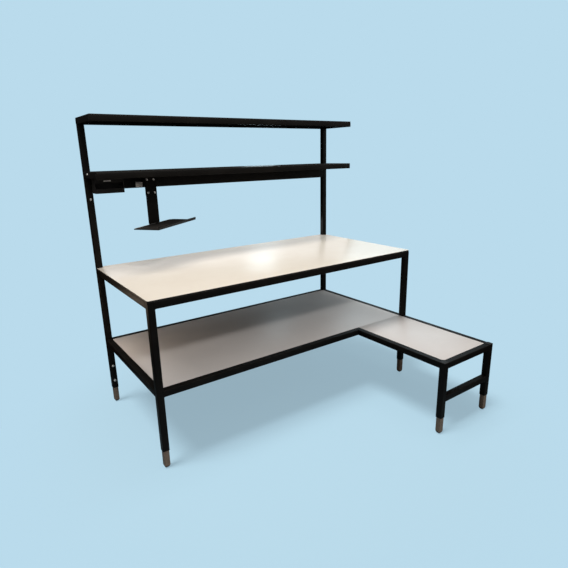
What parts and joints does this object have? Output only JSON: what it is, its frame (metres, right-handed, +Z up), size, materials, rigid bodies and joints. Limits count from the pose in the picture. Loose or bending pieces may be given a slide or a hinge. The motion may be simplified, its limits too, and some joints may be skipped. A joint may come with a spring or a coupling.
{
  "type": "lab bench with reagent shelf",
  "caption": "Black square-tube lab bench with white worktop, raised two-tier reagent shelf, low shelf with a forward L-shaped extension, telescopic feet and a swivelling hanging tray.",
  "frame": {"origin": "on the floor, under the centre of the box round the whole bench", "axes": "+X along the bench to the right seen from the front, +Y to the rear plane with the uprights, +Z up"},
  "size_m": [1.8, 1.542, 1.747],
  "materials": {
    "frame_black": "satin black powder coat",
    "sheet_black": "satin black paint",
    "laminate_white": "warm white compact laminate, satin, with a black core at its edges",
    "laminate_grey": "pale pinkish grey compact laminate, satin",
    "laminate_black": "black compact laminate, satin",
    "foot_steel": "dull brownish grey steel",
    "glide_plastic": "dark matt plastic",
    "screw_steel": "bright zinc-plated steel"
  },
  "bodies": {
    "frame": {"upright_left": "frame_black", "upright_right": "frame_black", "leg_front_left": "frame_black", "leg_front_right": "frame_black", "leg_ext_left": "frame_black", "leg_ext_right": "frame_black", "worktop_rail_front": "frame_black", "worktop_rail_rear": "frame_black", "worktop_rail_left": "frame_black", "worktop_rail_right": "frame_black", "worktop_rail_middle": "frame_black", "low_rail_rear": "frame_black", "low_rail_left": "frame_black", "low_rail_front": "frame_black", "low_rail_right": "frame_black", "ext_rail_left": "frame_black", "ext_rail_right": "frame_black", "ext_rail_front": "frame_black", "stretcher": "frame_black", "seam_rail": "frame_black", "bearer_rear": "frame_black", "bearer_front": "frame_black", "bearer_ext": "frame_black", "top_arm_left": "frame_black", "top_arm_right": "frame_black", "top_rail_front": "frame_black", "top_rail_rear": "frame_black", "mid_arm_left": "frame_black", "mid_arm_right": "frame_black", "mid_rail_front": "frame_black", "mid_beam": "frame_black", "worktop": "laminate_white", "top_deck": "laminate_black", "mid_deck": "laminate_black", "low_board_main": "laminate_grey", "low_board_ext": "laminate_grey", "holder": "sheet_black", "hanger_bracket": "sheet_black", "hanger_plate": "sheet_black", "stop_screw_rear_left": "screw_steel", "stop_screw_rear_right": "screw_steel", "stop_screw_front_left": "screw_steel", "stop_screw_front_right": "screw_steel", "stop_screw_ext_left": "screw_steel", "stop_screw_ext_right": "screw_steel", "pivot_bolt": "screw_steel"},
    "foot_rear_left": {"foot_rear_left": "foot_steel", "glide_rear_left": "glide_plastic"},
    "foot_rear_right": {"foot_rear_right": "foot_steel", "glide_rear_right": "glide_plastic"},
    "foot_front_left": {"foot_front_left": "foot_steel", "glide_front_left": "glide_plastic"},
    "foot_front_right": {"foot_front_right": "foot_steel", "glide_front_right": "glide_plastic"},
    "foot_ext_left": {"foot_ext_left": "foot_steel", "glide_ext_left": "glide_plastic"},
    "foot_ext_right": {"foot_ext_right": "foot_steel", "glide_ext_right": "glide_plastic"},
    "tray": {"tray": "sheet_black"}
  },
  "joints": [
    {"name": "rear_left_foot_slide", "type": "slide", "parent": "frame", "child": "foot_rear_left", "axis": [0, 0, -1], "range_m": [0, 0.08]},
    {"name": "rear_right_foot_slide", "type": "slide", "parent": "frame", "child": "foot_rear_right", "axis": [0, 0, -1], "range_m": [0, 0.08]},
    {"name": "front_left_foot_slide", "type": "slide", "parent": "frame", "child": "foot_front_left", "axis": [0, 0, -1], "range_m": [0, 0.08]},
    {"name": "front_right_foot_slide", "type": "slide", "parent": "frame", "child": "foot_front_right", "axis": [0, 0, -1], "range_m": [0, 0.08]},
    {"name": "ext_left_foot_slide", "type": "slide", "parent": "frame", "child": "foot_ext_left", "axis": [0, 0, -1], "range_m": [0, 0.08]},
    {"name": "ext_right_foot_slide", "type": "slide", "parent": "frame", "child": "foot_ext_right", "axis": [0, 0, -1], "range_m": [0, 0.08]},
    {"name": "tray_swivel", "type": "hinge", "parent": "frame", "child": "tray", "pos_m": [-0.555, 0.594, 1.1454], "axis": [0, 0, 1], "range_deg": [-80.5, 3.5]}
  ]
}
